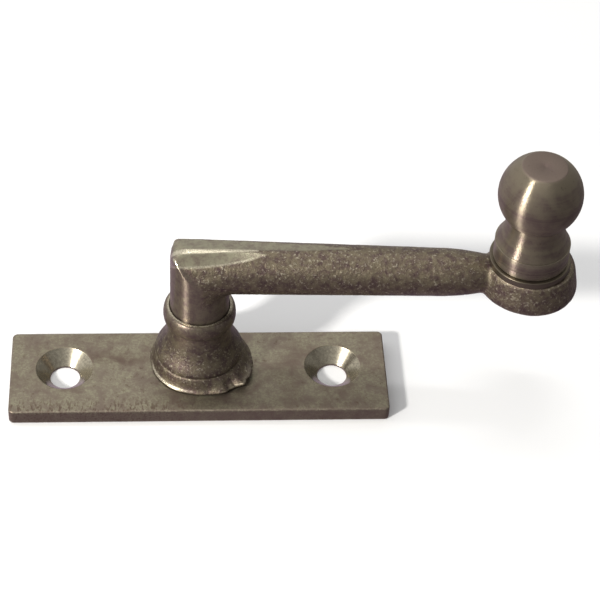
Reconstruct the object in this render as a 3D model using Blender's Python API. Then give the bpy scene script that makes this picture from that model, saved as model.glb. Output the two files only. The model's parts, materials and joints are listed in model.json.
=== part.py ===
"""Casement window fastener: a ball-knob crank arm that turns in a post on a screw-down plate.

The plate lies flat, its long side along X and its underside at Z = 0. The origin is the centre of
the whole footprint. The crank turns about the vertical axis of the post.
"""
import math

import bmesh
import bpy

MM = 0.001

# Plate
PLATE_LENGTH = 70.0 * MM
PLATE_WIDTH = 20.0 * MM
PLATE_THICKNESS = 3.0 * MM
PLATE_CORNER = 1.0 * MM
PLATE_EDGE = 0.3 * MM
SCREW_SPACING = 50.0 * MM
SCREW_RADIUS = 2.75 * MM
COUNTERSINK_RADIUS = 5.3 * MM
HOLE_SETBACK = 1.0 * MM             # the screw holes stand behind the plate's centre line
POST_SETBACK = 3.0 * MM             # and the post stands further behind it
CUT_MARGIN = 0.5 * MM               # how far each cutter runs past the faces that it opens

# Clearances
SEAT_GAP = 0.3 * MM                 # between pieces that rest on each other
RUNNING_GAP = 0.1 * MM              # between the spindle and its bores
STACK_GAP = 0.12 * MM               # between the washers under the post

# Post
SPINDLE_RADIUS = 5.4 * MM
TAIL_RADIUS = 3.5 * MM
SPIGOT_RADIUS = 5.8 * MM
STEM_RADIUS = 6.4 * MM
BELL_RADIUS = 8.2 * MM
WAIST_RADIUS = 5.9 * MM
BEAD_RADIUS = 6.66 * MM
SPIGOT_BOTTOM = 1.6 * MM
LIP_TOP = 3.6 * MM
BELL_BOTTOM = 6.17 * MM
BELL_LIP = 0.3 * MM
WAIST_HEIGHT = 11.5 * MM
BEAD_HEIGHT = 15.95 * MM
BEAD_HALF_HEIGHT = 1.75 * MM
POST_TOP = 17.77 * MM
BEAD_ANGLES = range(15, 166, 25)    # degrees round the bead, from its foot to its top

# Collar at the foot of the post
COLLAR_RADIUS = 9.42 * MM
COLLAR_RIM_HEIGHT = 3.6 * MM
COLLAR_RIM_ROUNDING = 0.2 * MM
COLLAR_TOP_RADIUS = 8.35 * MM

# Washers and peened head under the post
WASHER_RADIUS = 5.6 * MM
SPRING_WASHER_THICKNESS = 0.25 * MM
SPRING_WASHER_DISH = 0.2 * MM
RIVET_WASHER_THICKNESS = 0.35 * MM
PEEN_RADIUS = 4.8 * MM
PEEN_BOTTOM = 0.1 * MM
PEEN_ROUNDING = 0.3 * MM

# Arm
ARM_AXIS_HEIGHT = 27.2 * MM
ARM_RADIUS_AT_ELBOW = 4.94 * MM
ARM_RADIUS_AT_NECK = 4.36 * MM
ARM_NECK_START = 42.9 * MM
ARM_NECK_RADIUS = 3.2 * MM
ARM_NECK_END = 51.4 * MM
SPINDLE_STRAIGHT_TOP = 20.0 * MM
CORNER_SHARE = 0.97                 # how far towards the mitre's sharp corner the elbow is forged
ARM_STATIONS = (6.2, 9.0, 13.0, 18.0, 24.0, 30.0, 36.0, 42.9, 45.8, 48.4, 50.0, 51.4, 53.4)
REST_ANGLE = math.radians(-2.2)

# Filed flats of the elbow: direction from straight up towards the front and half the angle that
# each covers, both in degrees, and the distance along the arm at which it has run out
FLATS = ((-14.0, 21.0, 26.0 * MM), (33.0, 16.0, 15.0 * MM))

# Eye at the end of the arm
KNOB_REACH = 58.95 * MM
EYE_OFFSET = 0.8 * MM               # the knob's hole is drilled this far inside the eye's centre
EYE_RADIUS = 8.36 * MM
EYE_TOP_RADIUS = 7.26 * MM
EYE_BOTTOM = 24.02 * MM
EYE_TOP = 30.37 * MM
STUD_RADIUS = 2.5 * MM
STUD_HEAD_RADIUS = 3.4 * MM
STUD_HEAD_INSET = 0.1 * MM

# Knob and its seat washer
SEAT_WASHER_RADIUS = 7.35 * MM
SEAT_WASHER_THICKNESS = 1.3 * MM
EDGE_ROUNDING = 0.25 * MM
KNOB_FOOT_RADIUS = 6.75 * MM
KNOB_FOOT_TOP = 35.71 * MM
KNOB_NECK_RADIUS = 5.09 * MM
KNOB_NECK_HEIGHT = 40.35 * MM
BALL_RADIUS = 7.46 * MM
BALL_HEIGHT = 46.6 * MM
KNOB_TOP = 52.84 * MM

SEGMENTS = 48

# The origin is the centre of the footprint, so the pivot stands to the left of it
EYE_TIP_X = (KNOB_REACH + EYE_OFFSET) * math.cos(REST_ANGLE) + EYE_RADIUS
PIVOT_X = (PLATE_LENGTH / 2 - EYE_TIP_X) / 2
PLATE_FRONT = -PLATE_WIDTH / 2 - POST_SETBACK
SCREW_LINE = HOLE_SETBACK - POST_SETBACK
PIVOT_Y = -(PLATE_FRONT + COLLAR_RADIUS) / 2


def clear_scene():
    for thing in list(bpy.data.objects):
        bpy.data.objects.remove(thing, do_unlink=True)


def steel(name, colour, roughness):
    """Bare steel in one colour and roughness."""
    material = bpy.data.materials.new(name)
    material.use_nodes = True
    shader = material.node_tree.nodes["Principled BSDF"]
    shader.inputs["Base Color"].default_value = (*colour, 1.0)
    shader.inputs["Metallic"].default_value = 1.0
    shader.inputs["Roughness"].default_value = roughness
    return material


def add_object(name, mesh, material, parent=None, location=(0.0, 0.0, 0.0)):
    if material is not None:
        mesh.materials.append(material)
    thing = bpy.data.objects.new(name, mesh)
    thing.location = location
    thing.parent = parent
    bpy.context.collection.objects.link(thing)
    return thing


def add_pivot(name, location, angle=0.0):
    pivot = bpy.data.objects.new(name, None)
    pivot.location = location
    pivot.rotation_euler = (0.0, 0.0, angle)
    pivot.empty_display_size = 0.01
    bpy.context.collection.objects.link(pivot)
    return pivot


def smooth(mesh, angle=35.0):
    mesh.shade_smooth()
    mesh.set_sharp_from_angle(angle=math.radians(angle))


def arc(centre, radius, start, end, steps):
    """Points (radius, height) on an arc, its angles in degrees from +radius towards +height."""
    points = []
    for step in range(steps + 1):
        angle = math.radians(start + (end - start) * step / steps)
        points.append((centre[0] + radius * math.cos(angle), centre[1] + radius * math.sin(angle)))
    return points


def ease(start, end, steps):
    """Points (radius, height) on an S-shaped stretch, level at both ends with the axis."""
    points = []
    for step in range(steps + 1):
        part = step / steps
        blend = part * part * (3.0 - 2.0 * part)
        points.append((start[0] + (end[0] - start[0]) * blend, start[1] + (end[1] - start[1]) * part))
    return points


def turned_mesh(name, outline, closed, centre_x=0.0):
    """Spin an outline of (radius, height) points about a vertical axis through centre_x."""
    shape = bmesh.new()
    points = [shape.verts.new((radius, 0.0, height)) for radius, height in outline]
    edges = [shape.edges.new(pair) for pair in zip(points, points[1:])]
    if closed:
        edges.append(shape.edges.new((points[-1], points[0])))
    bmesh.ops.spin(shape, geom=points + edges, cent=(0, 0, 0), axis=(0, 0, 1),
                   angle=math.tau, steps=SEGMENTS, use_duplicate=False)
    bmesh.ops.remove_doubles(shape, verts=shape.verts, dist=1e-7)
    bmesh.ops.translate(shape, verts=shape.verts, vec=(centre_x, 0, 0))
    bmesh.ops.recalc_face_normals(shape, faces=shape.faces)
    mesh = bpy.data.meshes.new(name)
    shape.to_mesh(mesh)
    shape.free()
    smooth(mesh)
    return mesh


def cutter(name, outline, location=(0.0, 0.0, 0.0), parent=None, centre_x=0.0):
    thing = add_object(name, turned_mesh(name, outline, False, centre_x), None, parent, location)
    thing.hide_render = True
    thing.display_type = "WIRE"
    return thing


def combine(target, other, operation):
    step = target.modifiers.new(other.name, "BOOLEAN")
    step.operation = operation
    step.solver = "EXACT"
    step.object = other


def plate_mesh():
    """A bar with rounded corners, measured from the post's axis."""
    half = PLATE_LENGTH / 2 - PLATE_CORNER
    back = PLATE_FRONT + PLATE_WIDTH - PLATE_CORNER
    front = PLATE_FRONT + PLATE_CORNER
    corners = ((half, back, 0.0), (-half, back, 90.0), (-half, front, 180.0), (half, front, 270.0))
    outline = []
    for x, y, start in corners:
        outline += arc((x, y), PLATE_CORNER, start, start + 90.0, 4)
    shape = bmesh.new()
    face = shape.faces.new([shape.verts.new((x, y, 0.0)) for x, y in outline])
    grown = bmesh.ops.extrude_face_region(shape, geom=[face])
    raised = [part for part in grown["geom"] if isinstance(part, bmesh.types.BMVert)]
    bmesh.ops.translate(shape, verts=raised, vec=(0.0, 0.0, PLATE_THICKNESS))
    bmesh.ops.recalc_face_normals(shape, faces=shape.faces)
    mesh = bpy.data.meshes.new("base_plate")
    shape.to_mesh(mesh)
    shape.free()
    smooth(mesh)
    return mesh


def build_plate(post, material):
    plate = add_object("base_plate", plate_mesh(), material, post)
    edge = plate.modifiers.new("edges", "BEVEL")
    edge.width = PLATE_EDGE
    edge.segments = 2
    edge.limit_method = "ANGLE"
    edge.angle_limit = math.radians(40.0)
    cone_depth = COUNTERSINK_RADIUS - SCREW_RADIUS
    top = PLATE_THICKNESS + CUT_MARGIN
    screw = [(0.0, -CUT_MARGIN), (SCREW_RADIUS, -CUT_MARGIN), (SCREW_RADIUS, PLATE_THICKNESS - cone_depth),
             (COUNTERSINK_RADIUS + CUT_MARGIN, top), (0.0, top)]
    for side, label in ((-1, "left"), (1, "right")):
        place = (side * SCREW_SPACING / 2, SCREW_LINE, 0.0)
        combine(plate, cutter(f"cut_screw_{label}", screw, place, post), "DIFFERENCE")
    hole = SPIGOT_RADIUS + SEAT_GAP
    centre = [(0.0, -CUT_MARGIN), (hole, -CUT_MARGIN), (hole, top), (0.0, top)]
    combine(plate, cutter("cut_spigot", centre, parent=post), "DIFFERENCE")


def build_post(post, material):
    """Turned sleeve: spigot through the plate, stem, bell, waist and bead, with a lip inside."""
    bore = SPINDLE_RADIUS + RUNNING_GAP
    lip = TAIL_RADIUS + RUNNING_GAP
    foot = PLATE_THICKNESS + SEAT_GAP
    outline = [(lip, SPIGOT_BOTTOM), (SPIGOT_RADIUS, SPIGOT_BOTTOM), (SPIGOT_RADIUS, foot),
               (STEM_RADIUS, foot), (STEM_RADIUS, BELL_BOTTOM), (BELL_RADIUS, BELL_BOTTOM)]
    outline += ease((BELL_RADIUS, BELL_BOTTOM + BELL_LIP), (WAIST_RADIUS, WAIST_HEIGHT), 8)
    outline += [(WAIST_RADIUS + (BEAD_RADIUS - WAIST_RADIUS) * math.sin(math.radians(angle)),
                 BEAD_HEIGHT - BEAD_HALF_HEIGHT * math.cos(math.radians(angle))) for angle in BEAD_ANGLES]
    outline += [(WAIST_RADIUS, POST_TOP), (bore, POST_TOP), (bore, LIP_TOP), (lip, LIP_TOP)]
    add_object("post_sleeve", turned_mesh("post_sleeve", outline, True), material, post)


def build_collar(post, material):
    """Upset collar between the bell and the plate, splayed out at its foot."""
    foot = PLATE_THICKNESS + SEAT_GAP
    top = BELL_BOTTOM - SEAT_GAP
    inner = STEM_RADIUS + SEAT_GAP
    outline = [(inner, foot), (COLLAR_RADIUS - COLLAR_RIM_ROUNDING, foot), (COLLAR_RADIUS, COLLAR_RIM_HEIGHT),
               (COLLAR_RADIUS - COLLAR_RIM_ROUNDING, COLLAR_RIM_HEIGHT + COLLAR_RIM_ROUNDING),
               (COLLAR_TOP_RADIUS, top), (inner, top)]
    add_object("foot_collar", turned_mesh("foot_collar", outline, True), material, post)


def build_washers(post, crank, material):
    """Dished friction washer on the post's side, flat washer on the spindle's side."""
    inner = TAIL_RADIUS + RUNNING_GAP
    top = SPIGOT_BOTTOM - STACK_GAP
    low = top - SPRING_WASHER_DISH
    thick = SPRING_WASHER_THICKNESS
    spring = [(inner, top - thick), (WASHER_RADIUS, low - thick), (WASHER_RADIUS, low), (inner, top)]
    add_object("spring_washer", turned_mesh("spring_washer", spring, True), material, post)
    top = low - thick - STACK_GAP
    flat = [(inner, top - RIVET_WASHER_THICKNESS), (WASHER_RADIUS, top - RIVET_WASHER_THICKNESS),
            (WASHER_RADIUS, top), (inner, top)]
    add_object("rivet_washer", turned_mesh("rivet_washer", flat, True), material, crank)
    return top - RIVET_WASHER_THICKNESS - STACK_GAP


def arm_radius(distance):
    """Radius of the tapering arm at a distance from the pivot."""
    if distance < ARM_NECK_START:
        part = distance / ARM_NECK_START
        return ARM_RADIUS_AT_ELBOW + (ARM_RADIUS_AT_NECK - ARM_RADIUS_AT_ELBOW) * part
    part = min((distance - ARM_NECK_START) / (ARM_NECK_END - ARM_NECK_START), 1.0)
    return ARM_RADIUS_AT_NECK + (ARM_NECK_RADIUS - ARM_RADIUS_AT_NECK) * part * part


def file_flats(point):
    """Press a point of the arm onto the filed flats of the elbow."""
    x, y, z = point
    height = z - ARM_AXIS_HEIGHT
    distance = max(x, 0.0)
    for angle, half, run in FLATS:
        share = max(1.0 - distance / run, 0.0)
        depth = arm_radius(distance) * math.cos(math.radians(half * math.sqrt(share)))
        front, up = math.sin(math.radians(angle)), math.cos(math.radians(angle))
        excess = height * up - y * front - depth
        if excess > 0.0:
            y += excess * front
            height -= excess * up
    return x, y, ARM_AXIS_HEIGHT + height


def crank_mesh(peen_top):
    """Spindle, mitred elbow and arm as one skin of rings, closed at both ends."""
    shoulder = LIP_TOP + STACK_GAP
    upright = ((PEEN_RADIUS - PEEN_ROUNDING, PEEN_BOTTOM), (PEEN_RADIUS, (PEEN_BOTTOM + peen_top) / 2),
               (PEEN_RADIUS, peen_top), (TAIL_RADIUS, peen_top), (TAIL_RADIUS, shoulder),
               (SPINDLE_RADIUS - EDGE_ROUNDING, shoulder), (SPINDLE_RADIUS, shoulder + EDGE_ROUNDING),
               (SPINDLE_RADIUS, SPINDLE_STRAIGHT_TOP))
    circle = [(math.cos(math.tau * step / SEGMENTS), math.sin(math.tau * step / SEGMENTS))
              for step in range(SEGMENTS)]
    rings = [[(radius * x, radius * y, height) for x, y in circle] for radius, height in upright]
    corner = SPINDLE_RADIUS * CORNER_SHARE
    mitre = [(corner * x, SPINDLE_RADIUS * y, ARM_AXIS_HEIGHT - corner * x) for x, y in circle]
    rings.append([(x, y, (SPINDLE_STRAIGHT_TOP + z) / 2) for x, y, z in mitre])
    rings.append([file_flats(point) for point in mitre])
    for station in ARM_STATIONS:
        distance = station * MM
        radius = arm_radius(distance)
        ring = [(distance, radius * y, ARM_AXIS_HEIGHT - radius * x) for x, y in circle]
        rings.append([file_flats(point) for point in ring])
    shape = bmesh.new()
    loops = [[shape.verts.new(point) for point in ring] for ring in rings]
    for lower, upper in zip(loops, loops[1:]):
        for here in range(SEGMENTS):
            there = (here + 1) % SEGMENTS
            shape.faces.new((lower[here], lower[there], upper[there], upper[here]))
    shape.faces.new(loops[0])
    shape.faces.new(loops[-1])
    bmesh.ops.recalc_face_normals(shape, faces=shape.faces)
    mesh = bpy.data.meshes.new("crank_arm")
    shape.to_mesh(mesh)
    shape.free()
    smooth(mesh)
    return mesh


def build_crank(crank, peen_top, material):
    arm = add_object("crank_arm", crank_mesh(peen_top), material, crank)
    eye_centre = KNOB_REACH + EYE_OFFSET
    rounding = EDGE_ROUNDING
    eye = [(0.0, EYE_BOTTOM), (EYE_RADIUS - 3 * rounding, EYE_BOTTOM),
           (EYE_RADIUS - rounding, EYE_BOTTOM + rounding), (EYE_RADIUS, EYE_BOTTOM + 4 * rounding),
           (EYE_RADIUS, EYE_BOTTOM + 8 * rounding),
           (EYE_TOP_RADIUS + rounding, EYE_TOP - 2 * rounding), (EYE_TOP_RADIUS, EYE_TOP), (0.0, EYE_TOP)]
    combine(arm, cutter("add_eye", eye, parent=crank, centre_x=eye_centre), "UNION")
    hole = STUD_RADIUS + SEAT_GAP
    head = STUD_HEAD_RADIUS + SEAT_GAP
    stud_hole = [(0.0, EYE_BOTTOM - CUT_MARGIN), (head + CUT_MARGIN, EYE_BOTTOM - CUT_MARGIN),
                 (hole, EYE_BOTTOM + head - hole), (hole, EYE_TOP + CUT_MARGIN), (0.0, EYE_TOP + CUT_MARGIN)]
    combine(arm, cutter("cut_stud", stud_hole, parent=crank, centre_x=KNOB_REACH), "DIFFERENCE")


def build_knob(crank, washer_material, knob_material):
    place = (KNOB_REACH, 0.0, 0.0)
    low = EYE_TOP + SEAT_GAP / 2
    top = low + SEAT_WASHER_THICKNESS
    inner = STUD_RADIUS + SEAT_GAP
    outer, face = SEAT_WASHER_RADIUS, SEAT_WASHER_RADIUS - EDGE_ROUNDING
    washer = [(inner, low), (face, low), (outer, low + EDGE_ROUNDING), (outer, top - EDGE_ROUNDING),
              (face, top), (inner, top)]
    add_object("seat_washer", turned_mesh("seat_washer", washer, True), washer_material, crank, place)

    foot = top + SEAT_GAP / 2
    head = EYE_BOTTOM + STUD_HEAD_INSET
    shoulder = KNOB_FOOT_RADIUS - EDGE_ROUNDING
    outline = [(0.0, head), (STUD_HEAD_RADIUS, head), (STUD_RADIUS, head + STUD_HEAD_RADIUS - STUD_RADIUS),
               (STUD_RADIUS, foot), (shoulder, foot), (KNOB_FOOT_RADIUS, foot + EDGE_ROUNDING),
               (KNOB_FOOT_RADIUS, KNOB_FOOT_TOP - EDGE_ROUNDING), (shoulder, KNOB_FOOT_TOP)]
    flank = KNOB_FOOT_TOP + 2 * EDGE_ROUNDING
    for step in range(5):
        part = step / 4
        outline.append((KNOB_NECK_RADIUS + (shoulder - KNOB_NECK_RADIUS) * (1.0 - part) ** 1.5,
                        flank + (KNOB_NECK_HEIGHT - flank) * part))
    start = -math.degrees(math.acos(KNOB_NECK_RADIUS / BALL_RADIUS))
    end = math.degrees(math.asin((KNOB_TOP - BALL_HEIGHT) / BALL_RADIUS))
    outline += arc((0.0, BALL_HEIGHT), BALL_RADIUS, start, end, 12)
    outline += [(0.0, KNOB_TOP)]
    add_object("ball_knob", turned_mesh("ball_knob", outline, False), knob_material, crank, place)


def main():
    clear_scene()
    place = (PIVOT_X, PIVOT_Y, 0.0)
    post = add_pivot("post_axis", place)
    crank = add_pivot("crank_pivot", place, REST_ANGLE)
    plate_steel = steel("plate_steel", (0.30, 0.28, 0.20), 0.45)
    turned_steel = steel("turned_steel", (0.22, 0.20, 0.15), 0.35)
    forged_steel = steel("forged_steel", (0.20, 0.18, 0.13), 0.55)
    washer_steel = steel("washer_steel", (0.26, 0.24, 0.18), 0.4)
    build_plate(post, plate_steel)
    build_post(post, turned_steel)
    build_collar(post, forged_steel)
    peen_top = build_washers(post, crank, washer_steel)
    build_crank(crank, peen_top, forged_steel)
    build_knob(crank, washer_steel, turned_steel)


main()
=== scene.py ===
"""Casement window fastener: the finished look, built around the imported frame.

Each piece of the fastener has an operator of its own, and so has the stage. They are listed in
the sidebar of the 3D view, under Fastener. Every length is in metres.
"""
import json
import math

import bmesh
import bpy
import numpy as np
from bpy.props import FloatProperty, FloatVectorProperty, IntProperty, PointerProperty
from mathutils import Matrix, Vector


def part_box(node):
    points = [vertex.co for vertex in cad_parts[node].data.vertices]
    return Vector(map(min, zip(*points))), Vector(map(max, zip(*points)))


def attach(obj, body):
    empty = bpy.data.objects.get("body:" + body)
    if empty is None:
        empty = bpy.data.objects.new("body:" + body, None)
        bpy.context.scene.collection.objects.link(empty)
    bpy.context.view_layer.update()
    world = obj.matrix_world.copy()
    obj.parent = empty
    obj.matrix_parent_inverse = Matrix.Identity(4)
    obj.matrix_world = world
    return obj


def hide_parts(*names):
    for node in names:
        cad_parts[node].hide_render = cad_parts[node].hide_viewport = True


bl_info = {
    "name": "Casement window fastener",
    "version": (1, 0, 0),
    "blender": (4, 5, 0),
    "location": "View3D > Sidebar > Fastener",
    "description": "Builds the plate, post, crank arm, washers and ball knob of a casement fastener",
    "category": "Add Mesh",
}

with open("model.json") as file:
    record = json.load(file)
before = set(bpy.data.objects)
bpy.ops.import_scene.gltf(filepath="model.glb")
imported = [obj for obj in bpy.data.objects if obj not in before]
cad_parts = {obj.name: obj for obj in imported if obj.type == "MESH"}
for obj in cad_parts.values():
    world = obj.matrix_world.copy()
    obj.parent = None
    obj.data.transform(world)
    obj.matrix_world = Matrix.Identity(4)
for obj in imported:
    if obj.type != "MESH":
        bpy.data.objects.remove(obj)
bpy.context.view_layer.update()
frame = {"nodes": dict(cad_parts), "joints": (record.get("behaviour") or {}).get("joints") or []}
MM = 0.001

# Places taken from the frame
PIVOT = Vector((*frame["joints"][0]["pos_m"][:2], 0.0))
PLATE_LOW, PLATE_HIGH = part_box("base_plate")
POST_LOW, POST_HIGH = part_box("post_sleeve")
COLLAR_LOW, COLLAR_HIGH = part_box("foot_collar")
ARM_LOW, ARM_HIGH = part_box("crank_arm")
SEAT_LOW, SEAT_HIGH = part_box("seat_washer")
KNOB_LOW, KNOB_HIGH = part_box("ball_knob")
KNOB_AXIS = Vector(((SEAT_LOW.x + SEAT_HIGH.x) / 2, (SEAT_LOW.y + SEAT_HIGH.y) / 2, 0.0))
ARM_DIRECTION = (KNOB_AXIS - PIVOT).normalized()
KNOB_REACH = (KNOB_AXIS - PIVOT).length
ARM_ANGLE = math.atan2(ARM_DIRECTION.y, ARM_DIRECTION.x)
PLATE_TOP = PLATE_HIGH.z
HOLE_SPACING = 50.0 * MM
HOLE_LINE = -2.0 * MM               # the screw holes' line, measured from the post's axis
ARM_HEIGHT = SEAT_LOW.z - 3.32 * MM
EYE_TOP = SEAT_LOW.z - 0.15 * MM
EYE_SHIFT = 0.8 * MM                # the eye's centre lies this far beyond the knob's axis
EYE_STRETCH = 0.13                  # and the eye is this much longer on the arm's side

# How finely the shapes are built
MERGE = 1e-7                        # points closer than this are one
STRAIGHT = -0.985                   # a corner flatter than this isn't rounded
CUT_SIDES = 96                      # sides of a hole
RING_POINTS = 128                   # points round the crank and the eye
RING_GAP = 0.5 * MM                 # from one ring of the arm to the next
MITRE_RINGS = 12                    # rings on each side of the mitre
CURVE_STEPS = 24                    # steps along the bead and along the knob's neck
FILLET_ROUNDS = 6                   # smoothing rounds where the arm runs into the eye


# ---------------------------------------------------------------- sizes and colours

def length(name, description, millimetres):
    """A length property with its default in millimetres."""
    return FloatProperty(name=name, description=description, default=millimetres * MM, min=0.0,
                         unit="LENGTH", subtype="DISTANCE", precision=5)


def colour(name, description, value):
    return FloatVectorProperty(name=name, description=description, default=value, size=3,
                               min=0.0, max=1.0, subtype="COLOR")


class FastenerSizes(bpy.types.PropertyGroup):
    """Sizes of the visible shapes."""
    plate_edge: length("Plate edge", "Rounding of the plate's worn edges", 0.35)
    plate_corner: length("Plate corner", "Radius of the plate's corners", 1.0)
    countersink: length("Countersink", "Radius of the countersink at the plate's face", 5.3)
    screw_hole: length("Screw hole", "Radius of the screw holes", 2.75)
    bell: length("Bell", "Widest radius of the post's bell", 8.2)
    waist: length("Waist", "Radius of the post's waist", 5.9)
    bead: length("Bead", "Radius of the bead at the top of the post", 6.66)
    spindle: length("Spindle", "Radius of the spindle", 5.4)
    arm_at_elbow: length("Arm at elbow", "Radius of the arm at the elbow", 4.94)
    arm_at_neck: length("Arm at neck", "Radius of the arm before it narrows to the eye", 4.36)
    eye: length("Eye", "Widest radius of the eye", 8.36)
    eye_top: length("Eye top", "Radius of the eye's upper face", 7.26)
    foot: length("Knob foot", "Radius of the knob's foot", 6.75)
    neck: length("Knob neck", "Radius of the knob's neck", 5.09)
    ball: length("Ball", "Radius of the knob's ball", 7.46)
    lump_depth: length("Lumps", "Depth of the forging's low lumps", 0.05)
    pit_depth: length("Pits", "Depth of the pits in the forged skin", 0.045)
    voxel: length("Forging detail", "Size of the forging's finest facets", 0.23)
    sides: IntProperty(name="Sides", description="Sides of a turned piece", default=160, min=24, max=512)


class FastenerFinishes(bpy.types.PropertyGroup):
    """Colours of the bare steel."""
    plate: colour("Plate", "Rolled face of the plate", (0.292, 0.270, 0.188))
    # Plate, dark also paints the painted shade on the plate's rim and sides
    plate_dark: colour("Plate, dark", "Darker patches of the plate", (0.190, 0.150, 0.118))
    turned: colour("Turned", "Turned faces of the post and the knob", (0.232, 0.194, 0.140))
    turned_dark: colour("Turned, dark", "Darker rings of the turned faces", (0.156, 0.114, 0.100))
    forged: colour("Forged", "Skin of the forged arm", (0.178, 0.147, 0.099))
    forged_dark: colour("Forged, dark", "Pits in the forged skin", (0.094, 0.062, 0.059))
    # Filed is also the colour of the painted highlights: glints on rims and edges, the plate's lower edge
    # and sparkle in the pits
    filed: colour("Filed", "Filed flats and worn edges", (0.56, 0.51, 0.39))
    stain: colour("Stain", "Brown staining", (0.110, 0.070, 0.052))
    machined: colour("Machined", "Walls of the countersinks", (0.26, 0.230, 0.175))


# ---------------------------------------------------------------- node helpers

class Field:
    """An output of a node. Sums written with fields add Math nodes to their tree."""

    def __init__(self, node, output=0):
        self.tree = node.id_data
        self.socket = node.outputs[output]

    def __add__(self, other):
        return calculate(self.tree, "ADD", self, other)

    def __sub__(self, other):
        return calculate(self.tree, "SUBTRACT", self, other)

    def __rsub__(self, other):
        return calculate(self.tree, "SUBTRACT", other, self)

    def __mul__(self, other):
        return calculate(self.tree, "MULTIPLY", self, other)

    def __truediv__(self, other):
        return calculate(self.tree, "DIVIDE", self, other)

    def __rtruediv__(self, other):
        return calculate(self.tree, "DIVIDE", other, self)

    def __abs__(self):
        return calculate(self.tree, "ABSOLUTE", self)

    def larger(self, other):
        return calculate(self.tree, "MAXIMUM", self, other)

    def scaled(self, factor, offset):
        return calculate(self.tree, "MULTIPLY_ADD", self, factor, offset)

    def remap(self, low, high, new_low=0.0, new_high=1.0):
        """Go smoothly from new_low to new_high while this goes from low to high."""
        inputs = {"Value": self, "From Min": low, "From Max": high, "To Min": new_low, "To Max": new_high}
        return pick(self.tree, "ShaderNodeMapRange", inputs, interpolation_type="SMOOTHSTEP")


def link(node, inputs):
    """Link a node's inputs to fields, or set them to plain values, by name or number."""
    for key, value in inputs.items():
        if isinstance(value, Field):
            node.id_data.links.new(value.socket, node.inputs[key])
        else:
            node.inputs[key].default_value = value


def adjust(thing, options):
    for key, value in options.items():
        setattr(thing, key, value)


def put(tree, kind, inputs=None, **options):
    """Add a node, set its options, then set or link its inputs."""
    node = tree.nodes.new(kind)
    adjust(node, options)
    link(node, inputs or {})
    return node


def pick(tree, kind, inputs=None, output=0, **options):
    """Add a node and return one of its outputs."""
    return Field(put(tree, kind, inputs, **options), output)


def calculate(tree, operation, *values):
    return pick(tree, "ShaderNodeMath", dict(enumerate(values)), operation=operation)


def split(vector):
    """The X, Y and Z of a vector, as three fields."""
    node = put(vector.tree, "ShaderNodeSeparateXYZ", {0: vector})
    return [Field(node, axis) for axis in range(3)]


def from_axis(x, y):
    return calculate(x.tree, "SQRT", x * x + y * y)


def noise(coordinate, size, detail=4.0, roughness=0.55, distortion=0.0):
    """Cloudy pattern whose features are about size across."""
    inputs = {"Vector": coordinate, "Scale": 1.0 / size, "Detail": detail, "Roughness": roughness,
              "Distortion": distortion}
    return pick(coordinate.tree, "ShaderNodeTexNoise", inputs)


def stripes(along, size, detail):
    """Random stripes, about size apart."""
    inputs = {"W": along, "Scale": 1.0 / size, "Detail": detail}
    return pick(along.tree, "ShaderNodeTexNoise", inputs, noise_dimensions="1D")


def turning_rings(coordinate, size):
    """Random rings that follow the lathe tool, on walls and on faces alike."""
    x, y, z = split(coordinate)
    return stripes(z + from_axis(x, y) * 0.37, size, 3.0)


def attribute(tree, name):
    return pick(tree, "ShaderNodeAttribute", output="Fac", attribute_name=name)


def mix_colour(amount, first, second):
    """Mix two colours, each of them a field or three numbers."""
    first, second = (value if isinstance(value, Field) else (*value, 1.0) for value in (first, second))
    return pick(amount.tree, "ShaderNodeMix", {0: amount, 6: first, 7: second}, 2, data_type="RGBA")


def layered(base, *layers):
    """Lay colours over a base, each by its own amount."""
    for amount, value in layers:
        base = mix_colour(amount, base, value)
    return base


def shaded(shade, *colours):
    return [tuple(channel * shade for channel in value) for value in colours]


def object_coordinate(tree, centre, turn=0.0, stretch=(1.0, 1.0, 1.0)):
    """Object coordinates measured from a centre, turned about Z and stretched."""
    source = pick(tree, "ShaderNodeTexCoord", output="Object")
    place = {"Vector": source, "Location": centre, "Rotation": (0.0, 0.0, turn)}
    moved = pick(tree, "ShaderNodeMapping", place, vector_type="TEXTURE")
    return pick(tree, "ShaderNodeMapping", {"Vector": moved, "Scale": stretch})


def new_steel(name, metallic):
    material = bpy.data.materials.new(name)
    material.use_nodes = True
    shader = material.node_tree.nodes["Principled BSDF"]
    link(shader, {"Metallic": metallic, "Anisotropic Rotation": 0.25})
    return material, material.node_tree, shader


def lathe_direction(shader, coordinate, turn=0.0):
    """Run the grooves round the vertical axis, so that highlights stretch along it."""
    tree = shader.id_data
    x, y, _ = split(coordinate)
    around = pick(tree, "ShaderNodeCombineXYZ", {0: y * -1.0, 1: x})
    turned = pick(tree, "ShaderNodeVectorRotate", {"Vector": around, "Angle": turn}, rotation_type="Z_AXIS")
    world = pick(tree, "ShaderNodeVectorTransform", {0: turned}, vector_type="VECTOR",
                 convert_from="OBJECT", convert_to="WORLD")
    link(shader, {"Tangent": world})


def add_bump(shader, layers):
    """Stack bumps of (height, depth in metres) and link them to the shader."""
    normal = {}
    for height, depth in layers:
        inputs = {"Height": height, "Distance": depth, "Strength": 1.0, **normal}
        normal = {"Normal": pick(shader.id_data, "ShaderNodeBump", inputs)}
    link(shader, normal)


# ---------------------------------------------------------------- finishes

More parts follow.
